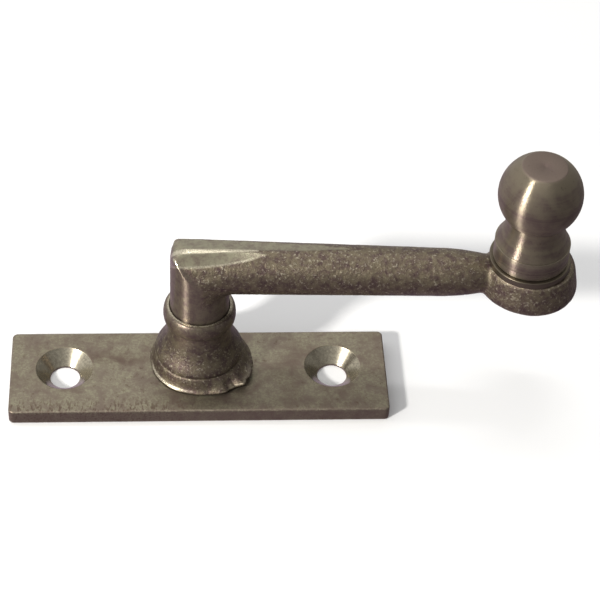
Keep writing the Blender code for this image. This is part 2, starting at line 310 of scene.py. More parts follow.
def plate_steel(finishes, sizes):
    """Rolled bar: mottled and stained face, rubbed edges with painted shade and painted glints, machined
    countersinks.
    """
    material, tree, shader = new_steel("plate_steel", metallic=0.92)
    flat = object_coordinate(tree, PIVOT)
    x, y, z = split(flat)
    mottle = noise(flat, 3.2 * MM, 7.0, 0.62, 0.3)
    grain = noise(flat, 0.45 * MM, 3.0, 0.6)
    patches = noise(flat, 11.0 * MM, 4.0, 0.6, 0.5).remap(0.45, 0.70)
    specks = noise(flat, 0.9 * MM, 3.0, 0.7).remap(0.57, 0.69)

    # Stains: streaks along the front, patches, specks, and a smudge beside the post
    front = PLATE_LOW.y - PIVOT.y
    near_front = y.remap(front + 5.0 * MM, front + 0.4 * MM)
    rolled = object_coordinate(tree, PIVOT, stretch=(1.0, 0.35, 1.0))
    streaks = noise(rolled, 0.45 * MM, 3.0, 0.65).remap(0.50, 0.62)
    streaks *= x.remap(-12.0 * MM, 2.0 * MM, 0.72, 0.25)
    stain = (near_front * (streaks + 0.08)).larger(patches * 0.28).larger(specks * 0.50)
    smudge = from_axis((x + 15.0 * MM) / (8.0 * MM), (y - 0.5 * MM) / (2.6 * MM)).remap(1.15, 0.35)
    stain = stain.larger(smudge * mottle.remap(0.30, 0.72, 0.55, 0.18))

    # Edges: painted shade along a ragged rim on top with painted glints in it, painted shade on the sides,
    # and a painted highlight along the lower edge
    centre_x = (PLATE_LOW.x + PLATE_HIGH.x) / 2 - PIVOT.x
    centre_y = (PLATE_LOW.y + PLATE_HIGH.y) / 2 - PIVOT.y
    reach_x = abs(x - centre_x) - (PLATE_HIGH.x - PLATE_LOW.x) / 2
    reach_y = abs(y - centre_y) - (PLATE_HIGH.y - PLATE_LOW.y) / 2
    ragged = (mottle - 0.5).scaled(1.2 * MM, reach_x.larger(reach_y))
    wear_and_painted_light = ragged.remap(-0.50 * MM, 0.0) * z.remap(PLATE_TOP - 0.42 * MM, PLATE_TOP - 0.12 * MM)
    # Painted shade: the sides are darker below the top edge
    side = z.remap(PLATE_TOP - 0.25 * MM, PLATE_TOP - 0.7 * MM)
    lower_edge_highlight = z.remap(PLATE_LOW.z + 0.60 * MM, PLATE_LOW.z + 0.10 * MM)

    # Countersinks
    hole = from_axis(abs(x) - HOLE_SPACING / 2, y - HOLE_LINE)
    inside = (hole.remap(sizes.countersink, sizes.countersink - 0.15 * MM)
              * z.remap(PLATE_TOP, PLATE_TOP - 0.1 * MM))
    outside = 1.0 - inside
    wall = mix_colour(grain.remap(0.2, 0.8, 0.0, 0.6), finishes.machined, finishes.filed)
    # Painted shade on the sides and the rim, painted glints in the rim and a painted highlight on the lower
    # edge, over the stains
    base = layered(mix_colour(mottle.remap(0.32, 0.62), finishes.plate_dark, finishes.plate),
                   (grain.remap(0.43, 0.58, 0.55, 0.0), finishes.plate_dark), (stain, finishes.stain),
                   (side * 0.5, finishes.plate_dark), (wear_and_painted_light * 0.75, finishes.plate_dark),
                   (wear_and_painted_light * grain.remap(0.48, 0.66) * 0.30, finishes.filed),
                   (lower_edge_highlight * mottle.remap(0.35, 0.60, 0.10, 0.40), finishes.filed), (inside, wall))
    rough = grain.scaled(0.16, 0.40) + stain * 0.15 - wear_and_painted_light * 0.08
    rough = pick(tree, "ShaderNodeMix", {0: inside, 2: rough, 3: 0.25})
    link(shader, {"Base Color": base, "Roughness": rough})
    add_bump(shader, [(mottle * outside, 0.035 * MM), (grain * outside, 0.026 * MM),
                      (stripes(hole, 0.22 * MM, 2.0) * inside, 0.010 * MM)])
    return material


def turned_steel(finishes, name, centre, anisotropic, shade=1.0, faced=False):
    """Turned bar: fine lathe rings, slight browning, streaked highlights along the axis.

    A faced piece has an attribute, face, that is 1 on its dull flat end.
    """
    material, tree, shader = new_steel(name, metallic=0.95)
    where = object_coordinate(tree, centre)
    rings = turning_rings(where, 0.45 * MM)
    broad = turning_rings(where, 2.2 * MM)
    mottle = noise(where, 2.4 * MM, 6.0, 0.6, 0.4)
    grain = noise(where, 0.35 * MM, 3.0, 0.6)
    specks = noise(where, 0.7 * MM, 3.0, 0.7).remap(0.60, 0.74)
    light, dark = shaded(shade, finishes.turned, finishes.turned_dark)
    # wear_and_painted_light lightens rubbed edges, with painted highlight
    base = layered(mix_colour((broad * 0.5 + mottle * 0.5).remap(0.36, 0.60), dark, light),
                   (rings.remap(0.35, 0.70) * 0.35, light), (specks * 0.45, finishes.stain),
                   (attribute(tree, "wear_and_painted_light"), finishes.filed))
    rough = grain.scaled(0.12, 0.31) + specks * 0.10
    link(shader, {"Anisotropic": anisotropic})
    if faced:
        face = attribute(tree, "face")
        base = mix_colour(face * 0.75, base, dark)
        rough += face * 0.18
        link(shader, {"Anisotropic": face.scaled(-anisotropic, anisotropic)})
    link(shader, {"Base Color": base, "Roughness": rough})
    lathe_direction(shader, where)
    add_bump(shader, [(broad, 0.020 * MM), (rings, 0.014 * MM), (grain, 0.018 * MM)])
    return material


def forged_steel(finishes, name, turn=0.0, shade=1.0, anisotropic=None):
    """Forged bar: dark pitted skin, with filed flats, turned walls, rubbed ridges and painted highlights.

    The attributes filed, turned and wear_and_painted_light say where; the last paints rubbed edges and
    painted highlights.
    The streaks follow turned, unless they have one strength all over.
    """
    material, tree, shader = new_steel(name, metallic=0.92)
    where = object_coordinate(tree, PIVOT, turn)
    mottle = noise(where, 1.5 * MM, 7.0, 0.72, 0.3)
    pits = noise(where, 0.48 * MM, 4.0, 0.68, 0.2)
    grain = noise(where, 0.26 * MM, 3.0, 0.65)
    cells = {"Vector": where, "Scale": 1.0 / (1.1 * MM), "Randomness": 1.0}
    crust = pick(tree, "ShaderNodeTexVoronoi", cells, "Distance", feature="SMOOTH_F1")
    filed, turned, wear_and_painted_light = (attribute(tree, part) for part in ("filed", "turned", "wear_and_painted_light"))
    skin = 1.0 - filed.larger(turned)

    light, dark = shaded(shade, finishes.forged, finishes.forged_dark)
    lathe = mix_colour(mottle.remap(0.35, 0.65), finishes.turned_dark, finishes.turned)
    bright = mix_colour(mottle.remap(0.30, 0.62), finishes.plate_dark, finishes.plate)
    # The brightest pits take painted highlights of sparkle; wear_and_painted_light paints rubbed edges and
    # painted highlights
    base = layered(mix_colour(mottle.remap(0.34, 0.62), dark, light),
                   (pits.remap(0.55, 0.68) * 0.55, finishes.filed),
                   (grain.remap(0.55, 0.75) * 0.4, finishes.stain),
                   (turned * shade, lathe), (filed, bright),
                   (wear_and_painted_light * grain.remap(0.34, 0.58, 0.25, 1.0), finishes.filed))

    rough = grain.scaled(0.20, 0.40) - turned * 0.17 - filed.larger(wear_and_painted_light) * 0.14
    link(shader, {"Base Color": base, "Roughness": rough,
                  "Anisotropic": turned if anisotropic is None else anisotropic})
    lathe_direction(shader, where, turn)
    slanted = object_coordinate(tree, PIVOT, turn + math.radians(8.0), (1.0, 0.12, 0.12))
    add_bump(shader, [(crust * skin, 0.03 * MM), (pits * skin, 0.10 * MM),
                      (noise(slanted, 0.25 * MM, 2.0) * filed, 0.015 * MM),
                      (turning_rings(where, 0.5 * MM) * turned, 0.012 * MM), (grain, 0.014 * MM)])
    return material


# ---------------------------------------------------------------- mesh helpers

def settings(context):
    return context.scene.fastener_sizes, context.scene.fastener_finishes


def add_object(name, data):
    thing = bpy.data.objects.new(name, data)
    bpy.context.scene.collection.objects.link(thing)
    return thing


def keep(name, mesh, node, body):
    """Make the finished mesh a piece that stands for a node of the frame and rides on a body."""
    mesh.name = name
    thing = add_object(name, mesh)
    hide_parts(node)
    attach(thing, body)


def modify(thing, name, kind, **options):
    adjust(thing.modifiers.new(name, kind), options)


def read_result(thing):
    """The mesh that an object's modifiers make. The working object goes."""
    bpy.context.view_layer.update()
    evaluated = thing.evaluated_get(bpy.context.evaluated_depsgraph_get())
    mesh = bpy.data.meshes.new_from_object(evaluated)
    bpy.data.objects.remove(thing)
    return mesh


def write_mesh(shape, mesh):
    """Point every face of the shape outwards and write it to the mesh."""
    bmesh.ops.recalc_face_normals(shape, faces=shape.faces)
    shape.to_mesh(mesh)
    shape.free()
    return mesh


def turn_out(mesh):
    """Merge doubles and point every face outwards."""
    shape = bmesh.new()
    shape.from_mesh(mesh)
    bmesh.ops.remove_doubles(shape, verts=shape.verts, dist=MERGE)
    write_mesh(shape, mesh)


def arc(centre, radius, start, end, steps):
    """Points (radius, height) on an arc, its angles in degrees from +radius towards +height."""
    angles = (math.radians(start + (end - start) * step / steps) for step in range(steps + 1))
    return [(centre[0] + radius * math.cos(a), centre[1] + radius * math.sin(a)) for a in angles]


def soften(outline, closed, radius, steps):
    """Round each corner of an outline with a curve that starts radius away from it."""
    rounded = []
    count = len(outline)
    for number, corner in enumerate(outline):
        here = Vector(corner)
        loose_end = not closed and number in (0, count - 1)
        before = Vector(outline[number - 1]) - here
        after = Vector(outline[(number + 1) % count]) - here
        reach = min(radius, before.length * 0.45, after.length * 0.45)
        if loose_end or before.normalized().dot(after.normalized()) < STRAIGHT:
            rounded.append(tuple(here))
            continue
        start, end = here + before.normalized() * reach, here + after.normalized() * reach
        for step in range(steps + 1):
            t = step / steps
            point = start * (1 - t) ** 2 + here * 2 * t * (1 - t) + end * t ** 2
            rounded.append(tuple(point))
    return rounded


def outline_mesh(name, outline, closed):
    """An outline of (radius, height) points as a chain of vertices for the lathe tree."""
    if closed:
        outline = outline + outline[:1]
    mesh = bpy.data.meshes.new(name)
    mesh.from_pydata([(radius, 0.0, height) for radius, height in outline],
                     [(k, k + 1) for k in range(len(outline) - 1)], [])
    return mesh


def new_tree(name, sockets):
    """An empty Geometry Nodes tree, and its inputs as fields."""
    tree = bpy.data.node_groups.new(name, "GeometryNodeTree")
    for socket, kind in sockets.items():
        tree.interface.new_socket(socket, in_out="INPUT", socket_type=f"NodeSocket{kind}")
    tree.interface.new_socket("Piece", in_out="OUTPUT", socket_type="NodeSocketGeometry")
    given = put(tree, "NodeGroupInput")
    return tree, {socket: Field(given, socket) for socket in sockets}


def end_tree(geometry, finish):
    """Give the geometry its material and make it the tree's output."""
    tree = geometry.tree
    real = pick(tree, "GeometryNodeRealizeInstances", {"Geometry": geometry})
    done = pick(tree, "GeometryNodeSetMaterial", {"Geometry": real, "Material": finish})
    put(tree, "NodeGroupOutput", {"Piece": done})
    return tree


def lathe_tree():
    """Geometry Nodes: spin the outline about Z."""
    if "Lathe" in bpy.data.node_groups:
        return bpy.data.node_groups["Lathe"]
    tree, given = new_tree("Lathe", {"Outline": "Geometry", "Sides": "Int", "Finish": "Material"})

    def whole(operation, first, second):
        return pick(tree, "FunctionNodeIntegerMath", {0: first, 1: second}, operation=operation)

    count = pick(tree, "GeometryNodeAttributeDomainSize", {"Geometry": given["Outline"]}, "Point Count")
    columns = whole("ADD", given["Sides"], 1)
    grid = pick(tree, "GeometryNodeMeshGrid", {"Vertices X": columns, "Vertices Y": count}, "Mesh")
    index = pick(tree, "GeometryNodeInputIndex")
    row, column = whole("MODULO", index, count), whole("DIVIDE_FLOOR", index, count)
    place = pick(tree, "GeometryNodeInputPosition")
    source = {"Geometry": given["Outline"], "Value": place, "Index": row}
    radius, _, height = split(pick(tree, "GeometryNodeSampleIndex", source, data_type="FLOAT_VECTOR"))
    angle = column / given["Sides"] * math.tau
    spun = pick(tree, "ShaderNodeCombineXYZ", {0: radius * calculate(tree, "COSINE", angle),
                                               1: radius * calculate(tree, "SINE", angle), 2: height})
    moved = pick(tree, "GeometryNodeSetPosition", {"Geometry": grid, "Position": spun})
    closed = pick(tree, "GeometryNodeMergeByDistance", {"Geometry": moved, "Distance": MERGE})
    return end_tree(closed, given["Finish"])


def skin_tree():
    """Geometry Nodes: press lumps and pits into a mesh, less where its smooth attribute is high."""
    if "Forged skin" in bpy.data.node_groups:
        return bpy.data.node_groups["Forged skin"]
    tree, given = new_tree("Forged skin", {
        "Blank": "Geometry", "Lump Size": "Float", "Lump Depth": "Float", "Pit Size": "Float",
        "Pit Depth": "Float", "Seed": "Float", "Finish": "Material"})

    def clouds(size, detail):
        inputs = {"W": given["Seed"], "Scale": 1.0 / size, "Detail": detail}
        return pick(tree, "ShaderNodeTexNoise", inputs, noise_dimensions="4D")

    lumps = (clouds(given["Lump Size"], 2.0) - 0.5) * given["Lump Depth"]
    pits = (clouds(given["Pit Size"], 3.0) - 0.52).larger(0.0) * 5.0 * given["Pit Depth"]
    smooth = pick(tree, "GeometryNodeInputNamedAttribute", {"Name": "smooth"}, data_type="FLOAT")
    offset = (lumps * 2.0 - pits) * (1.0 - smooth)
    normal = pick(tree, "GeometryNodeInputNormal")
    push = pick(tree, "ShaderNodeVectorMath", {0: normal, "Scale": offset}, operation="SCALE")
    moved = pick(tree, "GeometryNodeSetPosition", {"Geometry": given["Blank"], "Offset": push})
    return end_tree(moved, given["Finish"])


def run_tree(name, mesh, tree, **values):
    """Run a tree on a mesh. Its inputs are named here and set by their identifiers."""
    thing = add_object(name, mesh)
    step = thing.modifiers.new(tree.name, "NODES")
    step.node_group = tree
    identifiers = {socket.name: socket.identifier for socket in tree.interface.items_tree
                   if socket.in_out == "INPUT"}
    for key, value in values.items():
        step[identifiers[key.replace("_", " ").title()]] = value
    return read_result(thing)


def turned_mesh(name, outline, closed, axis, sides, finish):
    mesh = run_tree(name, outline_mesh(name, outline, closed), lathe_tree(), sides=sides, finish=finish)
    turn_out(mesh)
    mesh.transform(Matrix.Translation((axis.x, axis.y, 0.0)))
    mesh.shade_smooth()
    mesh.set_sharp_from_angle(angle=math.radians(38.0))
    return mesh


def add_attribute(mesh, name, values):
    layer = mesh.attributes.get(name) or mesh.attributes.new(name, "FLOAT", "POINT")
    layer.data.foreach_set("value", np.asarray(values, np.float32))


def places(mesh):
    numbers = np.zeros(len(mesh.vertices) * 3)
    mesh.vertices.foreach_get("co", numbers)
    return numbers.reshape(-1, 3)


def place_points(mesh, points):
    mesh.vertices.foreach_set("co", points.ravel())


def edge_ends(mesh):
    """The two vertex numbers of every edge."""
    pairs = np.zeros(len(mesh.edges) * 2, np.int64)
    mesh.edges.foreach_get("vertices", pairs)
    return pairs.reshape(-1, 2).T


def smoothstep(low, high, value):
    part = np.clip((value - low) / (high - low), 0.0, 1.0)
    return part * part * (3.0 - 2.0 * part)


def ridges(mesh, low, high):
    """How far each vertex stands proud of its neighbours, from 0 to 1, averaged once."""
    points = places(mesh)
    normals = np.zeros(len(mesh.vertices) * 3)
    mesh.vertices.foreach_get("normal", normals)
    normals = normals.reshape(-1, 3)
    first, second = edge_ends(mesh)
    count = np.bincount(np.concatenate((first, second)), minlength=len(points)).clip(1)
    step = points[second] - points[first]
    size = np.linalg.norm(step, axis=1).clip(1e-9)
    proud = (np.bincount(first, -(normals[first] * step).sum(1) / size, len(points))
             + np.bincount(second, (normals[second] * step).sum(1) / size, len(points))) / count
    proud = (np.bincount(first, proud[second], len(points))
             + np.bincount(second, proud[first], len(points))) / count
    return smoothstep(low, high, proud)


# ---------------------------------------------------------------- plate

def plate_blank(sizes):
    """The bar: a rectangle with rounded corners, extruded to the plate's thickness."""
    corner = sizes.plate_corner
    left, right = PLATE_LOW.x + corner, PLATE_HIGH.x - corner
    front, back = PLATE_LOW.y + corner, PLATE_HIGH.y - corner
    spots = ((right, back, 0.0), (left, back, 90.0), (left, front, 180.0), (right, front, 270.0))
    shape = bmesh.new()
    ring = [shape.verts.new((x, y, PLATE_LOW.z)) for cx, cy, start in spots
            for x, y in arc((cx, cy), corner, start, start + 90.0, 8)]
    grown = bmesh.ops.extrude_face_region(shape, geom=[shape.faces.new(ring)])
    raised = [part for part in grown["geom"] if isinstance(part, bmesh.types.BMVert)]
    bmesh.ops.translate(shape, verts=raised, vec=(0.0, 0.0, PLATE_HIGH.z - PLATE_LOW.z))
    return write_mesh(shape, bpy.data.meshes.new("plate_blank"))


def cut(target, name, outline, axis):
    """Cut a turned shape out of the target, and return the shape."""
    tool = add_object(name, turned_mesh(name, outline, False, axis, CUT_SIDES, None))
    modify(target, name, "BOOLEAN", operation="DIFFERENCE", solver="EXACT", object=tool)
    return tool


class FASTENER_OT_plate(bpy.types.Operator):
    """Build the screw-down plate with its countersunk holes"""
    bl_idname = "fastener.plate"
    bl_label = "Plate"

    def execute(self, context):
        sizes, finishes = settings(context)
        plate = add_object("plate", plate_blank(sizes))
        modify(plate, "edges", "BEVEL", width=sizes.plate_edge, segments=5, limit_method="ANGLE",
               angle_limit=math.radians(40.0))
        over = 0.6 * MM
        lead = 0.10 * MM
        depth = sizes.countersink - sizes.screw_hole
        screw = [(0.0, -over), (sizes.screw_hole + over, -over), (sizes.screw_hole, PLATE_LOW.z + lead),
                 (sizes.screw_hole, PLATE_TOP - depth), (sizes.countersink - lead, PLATE_TOP - lead),
                 (sizes.countersink + lead, PLATE_TOP), (sizes.countersink + over, PLATE_TOP + lead),
                 (sizes.countersink + over, PLATE_TOP + over), (0.0, PLATE_TOP + over)]
        tools = []
        for side in (-1, 1):
            axis = PIVOT + Vector((side * HOLE_SPACING / 2, HOLE_LINE, 0.0))
            tools.append(cut(plate, f"screw_{side}", soften(screw, False, 0.08 * MM, 3), axis))
        spigot = 6.1 * MM
        middle = [(0.0, -over), (spigot, -over), (spigot, PLATE_TOP + over), (0.0, PLATE_TOP + over)]
        tools.append(cut(plate, "spigot", middle, PIVOT))
        modify(plate, "normals", "WEIGHTED_NORMAL", keep_sharp=True, weight=100)
        plate.data.shade_smooth()
        mesh = read_result(plate)
        for tool in tools:
            bpy.data.objects.remove(tool)
        mesh.materials.clear()
        mesh.materials.append(plate_steel(finishes, sizes))
        mesh.polygons.foreach_set("material_index", [0] * len(mesh.polygons))
        keep("screw_plate", mesh, "base_plate", "base")
        return {"FINISHED"}


# ---------------------------------------------------------------- post and collar

# The bell's flank: share of the way out from the waist to the widest radius, and height in
# millimetres over the bell's lower edge
BELL_FLANK = ((0.985, 0.55), (0.93, 0.90), (0.85, 1.25), (0.74, 1.70), (0.62, 2.15), (0.50, 2.65),
              (0.385, 3.2), (0.285, 3.75), (0.195, 4.35), (0.12, 5.0), (0.06, 5.7), (0.02, 6.5),
              (0.0, 7.3), (0.0, 7.9))


class FASTENER_OT_post(bpy.types.Operator):
    """Turn the post: spigot, stem, bell, waist and bead, bored for the spindle"""
    bl_idname = "fastener.post"
    bl_label = "Post"

    def execute(self, context):
        sizes, finishes = settings(context)
        bore, lip, spigot, stem = 5.5 * MM, 3.6 * MM, 5.8 * MM, 6.4 * MM
        foot, bell_low = COLLAR_LOW.z, COLLAR_HIGH.z + 0.3 * MM
        lip_top = 3.6 * MM
        edge = 0.30 * MM
        outline = [(lip, POST_LOW.z), (spigot, POST_LOW.z), (spigot, foot), (stem, foot), (stem, bell_low),
                   (sizes.bell - edge, bell_low)]
        outline += arc((sizes.bell - edge, bell_low + edge), edge, -80.0, 10.0, 6)
        for part, height in BELL_FLANK:
            outline.append((sizes.waist + (sizes.bell - sizes.waist) * part, bell_low + height * MM))
        for step in range(CURVE_STEPS + 1):
            angle = math.pi * step / CURVE_STEPS
            outline.append((sizes.waist + (sizes.bead - sizes.waist) * math.sin(angle) ** 0.75,
                            POST_HIGH.z - (1.86 + 1.72 * math.cos(angle)) * MM))
        outline += [(sizes.waist, POST_HIGH.z - 0.06 * MM), (sizes.waist - 0.12 * MM, POST_HIGH.z),
                    (bore + 0.12 * MM, POST_HIGH.z), (bore, POST_HIGH.z - 0.12 * MM),
                    (bore, lip_top), (lip, lip_top)]
        steel = forged_steel(finishes, "post_steel", shade=0.80)
        mesh = turned_mesh("post", outline, True, PIVOT, sizes.sides, steel)
        x, y, z = places(mesh).T
        radius = np.hypot(x - PIVOT.x, y - PIVOT.y)
        # A painted highlight round the upper rim of the bead
        rim = smoothstep(0.25 * MM, 0.0, np.abs(z - POST_HIGH.z + 0.05 * MM))
        rim *= smoothstep(0.5 * MM, 0.2 * MM, np.abs(radius - sizes.waist + 0.2 * MM))
        add_attribute(mesh, "wear_and_painted_light", rim * 0.8)
        add_attribute(mesh, "filed", np.zeros(len(z)))
        add_attribute(mesh, "turned", 0.12 + 0.55 * smoothstep(3.5 * MM, 7.0 * MM, z - bell_low))
        keep("turned_post", mesh, "post_sleeve", "base")
        return {"FINISHED"}


# Corners of the collar's torn edge: angle about the post in degrees, and how far each stands out
# in millimetres
TORN_EDGE = ((-82.0, 0.0), (-68.0, 0.60), (-63.0, 0.72), (-58.0, 0.35), (-51.0, 0.60), (-44.0, 1.75),
             (-41.0, 1.70), (-37.0, 1.15), (-30.0, 1.25), (-21.0, 0.95), (-17.0, 0.55), (-11.0, 0.60),
             (2.0, 0.10), (14.0, 0.0))
COLLAR_STREAKS = 0.1                # how far the whole collar looks turned


class FASTENER_OT_collar(bpy.types.Operator):
    """Form the uneven collar at the foot of the post"""
    bl_idname = "fastener.collar"
    bl_label = "Collar"

    def execute(self, context):
        sizes, finishes = settings(context)
        radius = (COLLAR_HIGH.x - COLLAR_LOW.x) / 2
        inner = 6.7 * MM
        low, top = PLATE_TOP + 0.05 * MM, COLLAR_HIGH.z + 0.18 * MM
        rim = low + 0.32 * MM
        outline = [(inner, low), (radius - 0.40 * MM, low), (radius - 0.05 * MM, rim - 0.18 * MM),
                   (radius, rim), (radius - 0.12 * MM, rim + 0.20 * MM),
                   (radius - 0.42 * MM, rim + 0.46 * MM),
                   (radius - 0.72 * MM, rim + 1.05 * MM), (radius - 0.92 * MM, rim + 1.75 * MM),
                   (sizes.bell + 0.02 * MM, top - 0.22 * MM), (sizes.bell - 0.30 * MM, top - 0.02 * MM),
                   (sizes.bell - 0.6 * MM, top), (inner, top)]
        outline = soften(outline, True, 0.22 * MM, 6)
        steel = forged_steel(finishes, "collar_steel", shade=0.90, anisotropic=COLLAR_STREAKS)
        mesh = turned_mesh("collar", outline, True, PIVOT, 3 * sizes.sides, steel)
        points = places(mesh)
        flat = points[:, :2] - np.array(PIVOT.xy)
        angle = np.degrees(np.arctan2(flat[:, 1], flat[:, 0]))
        out = np.hypot(flat[:, 0], flat[:, 1])
        torn = np.interp(angle, *np.array(TORN_EDGE).T) * MM
        share = smoothstep(sizes.bell - 0.1 * MM, radius - 0.1 * MM, out)
        wave = (0.07 * MM * np.sin(np.radians(angle * 5.0 + 40.0))
                + 0.04 * MM * np.sin(np.radians(angle * 11.0)))
        splits = np.sin(out / (0.17 * MM) + angle * 0.06)
        splits = splits * smoothstep(-78.0, -62.0, angle) * smoothstep(-8.0, -24.0, angle)
        splits *= smoothstep(0.15, 0.5, share) * (points[:, 2] > rim)
        grown = 1.0 + (torn + wave) * share / out.clip(1e-6)
        lift = torn * 0.50 * share + 0.06 * MM * splits
        points[:, 0] = PIVOT.x + flat[:, 0] * grown + 0.28 * MM * share
        points[:, 1] = PIVOT.y + flat[:, 1] * grown
        points[:, 2] += lift
        place_points(mesh, points)
        mesh.update()
        # A painted highlight along the rim's edge on the left-front, and rubbed wear on the split ridges
        lit = smoothstep(-178.0, -160.0, angle) * smoothstep(-95.0, -125.0, angle)
        edge = smoothstep(0.35 * MM, 0.10 * MM, np.abs(out - radius + 0.15 * MM)) * (points[:, 2] > rim)
        add_attribute(mesh, "wear_and_painted_light", np.clip(0.75 * lit * edge + 0.25 * splits.clip(0.0), 0.0, 1.0))
        add_attribute(mesh, "smooth", np.where(out < sizes.bell - 0.3 * MM, 1.0, 0.35))
        add_attribute(mesh, "turned", np.full(len(points), COLLAR_STREAKS))
        add_attribute(mesh, "filed", np.zeros(len(points)))
        mesh = run_tree("collar", mesh, skin_tree(), lump_size=2.2 * MM, lump_depth=sizes.lump_depth,
                        pit_size=0.8 * MM, pit_depth=sizes.pit_depth * 0.6, seed=3.0, finish=steel)
        points = places(mesh)
        points[:, 2] = np.maximum(points[:, 2], low)
        place_points(mesh, points)
        mesh.shade_smooth()
        keep("upset_collar", mesh, "foot_collar", "base")
        return {"FINISHED"}


# ---------------------------------------------------------------- crank arm

# Filed flats of the elbow. Each row of a flat: distance along the arm in millimetres, direction
# from straight up towards the front in degrees, and half the angle that it covers
FLATS = (((-6.0, -14.0, 21.0), (8.0, -14.0, 19.0), (18.0, -12.0, 14.0), (27.0, -10.0, 0.0)),
         ((-6.0, 14.0, 7.0), (-4.0, 13.5, 6.5), (0.0, 11.5, 5.2), (5.0, 8.0, 3.8), (12.5, 5.0, 0.0)),
         ((-6.0, 35.5, 14.5), (-3.0, 34.2, 14.7), (0.0, 32.2, 15.2), (4.4, 26.0, 14.4), (7.5, 21.5, 11.5),
          (10.0, 18.0, 7.0), (12.0, 16.0, 0.0)))
RIDGE_FLAT, FRONT_FLAT = 1, 2


def flat_at(flat, distance):
    """Direction and half-angle of a flat, in radians, at a distance along the arm."""
    stations, turns, halves = np.array(flat).T
    return (np.radians(np.interp(distance / MM, stations, turns)),
            np.radians(np.interp(distance / MM, stations, halves)))


def press_flats(side, up, distance, radius):
    """Press a point of the arm's cross-section (towards the front, up) onto the flats."""
    for flat in FLATS:
        turn, half = flat_at(flat, distance)
        excess = side * math.sin(turn) + up * math.cos(turn) - radius * math.cos(half)
        if excess > 0.0:
            side -= excess * math.sin(turn)
            up -= excess * math.cos(turn)
    return side, up


def arm_radius(distance, sizes):
    """Radius of the tapering arm, which narrows quickly just before the eye."""
    neck_start, neck_end, neck = 42.9 * MM, 51.4 * MM, 3.45 * MM
    if distance < neck_start:
        return sizes.arm_at_elbow + (sizes.arm_at_neck - sizes.arm_at_elbow) * distance / neck_start
    part = min((distance - neck_start) / (neck_end - neck_start), 1.0)
    return sizes.arm_at_neck + (neck - sizes.arm_at_neck) * part * part


def crank_rings(sizes):
    """Rings from the peened end up the spindle, round the mitred elbow and out along the arm."""
    spindle, tail, peen = sizes.spindle, 3.5 * MM, 4.8 * MM
    low, shoulder, base = ARM_LOW.z, 3.72 * MM, ARM_HEIGHT - spindle - 1.5 * MM
    angles = [math.tau * step / RING_POINTS for step in range(RING_POINTS)]
    upright = [(peen * 0.55, low), (peen - 0.35 * MM, low + 0.04 * MM), (peen, low + 0.22 * MM),
               (peen - 0.1 * MM, low + 0.42 * MM), (tail, low + 0.45 * MM), (tail, shoulder),
               (spindle - 0.3 * MM, shoulder), (spindle, shoulder + 0.3 * MM), (spindle, base)]
    rings = [[(r * math.cos(a), r * math.sin(a), z) for a in angles] for r, z in upright]
    for step in range(1, MITRE_RINGS + 1):
        part = step / MITRE_RINGS
        rings.append([(spindle * math.cos(a), spindle * math.sin(a),
                       base + (ARM_HEIGHT - spindle * math.cos(a) - base) * part) for a in angles])
    distance = spindle + 0.3 * MM
    for step in range(1, MITRE_RINGS + 1):
        part = step / MITRE_RINGS
        radius = spindle + (arm_radius(distance, sizes) - spindle) * part
        starts = [spindle * math.cos(a) for a in angles]
        rings.append([(start + (distance - start) * part, radius * math.sin(a),
                       ARM_HEIGHT - radius * math.cos(a)) for start, a in zip(starts, angles)])
    while distance < KNOB_REACH - 5.0 * MM:
        distance += RING_GAP
        radius = arm_radius(distance, sizes)
        rings.append([(distance, radius * math.sin(a), ARM_HEIGHT - radius * math.cos(a)) for a in angles])
    return rings


def file_point(x, y, above, sizes):
    """Take a point over the arm's axis in to the arm's radius, then press it onto the flats."""
    arm = arm_radius(max(x, 0.0), sizes)
    limit = sizes.spindle + (arm - sizes.spindle) * min(max(above / (2.0 * MM), 0.0), 1.0)
    if above > 0.0 and math.hypot(y, above) > limit:
        shrink = limit / math.hypot(y, above)
        y, above = y * shrink, above * shrink
    side, above = press_flats(-y, above, x, arm)
    return -side, above


def file_elbow(rings, sizes):
    """Press the flats into the elbow, then round its outer corner."""
    corner = 2.4 * MM
    left, top = -sizes.spindle + corner, ARM_HEIGHT + sizes.arm_at_elbow - 0.25 * MM - corner
    filed = []
    for ring in rings:
        new_ring = []
        for x, y, z in ring:
            above = z - ARM_HEIGHT
            if above > -0.6 * sizes.spindle:
                y, above = file_point(x, y, above, sizes)
                z = ARM_HEIGHT + above
            reach = math.hypot(x - left, z - top)
            if x < left and z > top and reach > corner:
                x = left + (x - left) * corner / reach
                z = top + (z - top) * corner / reach
            new_ring.append((x, y, z))
        filed.append(new_ring)
    return filed


def skin_rings(rings):
    """One closed skin over a stack of rings."""
    shape = bmesh.new()
    loops = [[shape.verts.new(point) for point in ring] for ring in rings]
    for lower, upper in zip(loops, loops[1:]):
        for here in range(len(lower)):
            there = (here + 1) % len(lower)
            shape.faces.new((lower[here], lower[there], upper[there], upper[here]))
    shape.faces.new(loops[0])
    shape.faces.new(loops[-1])
    return write_mesh(shape, bpy.data.meshes.new("crank"))


def eye_outline(sizes):
    """The round eye: a low boss, widest near its lower edge and narrower on top."""
    low, top = KNOB_LOW.z - 0.1 * MM, EYE_TOP
    outline = [(0.0, low), (sizes.eye - 1.4 * MM, low)]
    outline += arc((sizes.eye - 1.4 * MM, low + 1.4 * MM), 1.4 * MM, -80.0, 0.0, 8)
    outline += [(sizes.eye - 0.05 * MM, low + 2.0 * MM), (sizes.eye_top + 0.35 * MM, top - 0.9 * MM)]
    outline += arc((sizes.eye_top - 0.3 * MM, top - 0.45 * MM), 0.45 * MM, 20.0, 90.0, 4)
    return outline + [(0.0, top)]


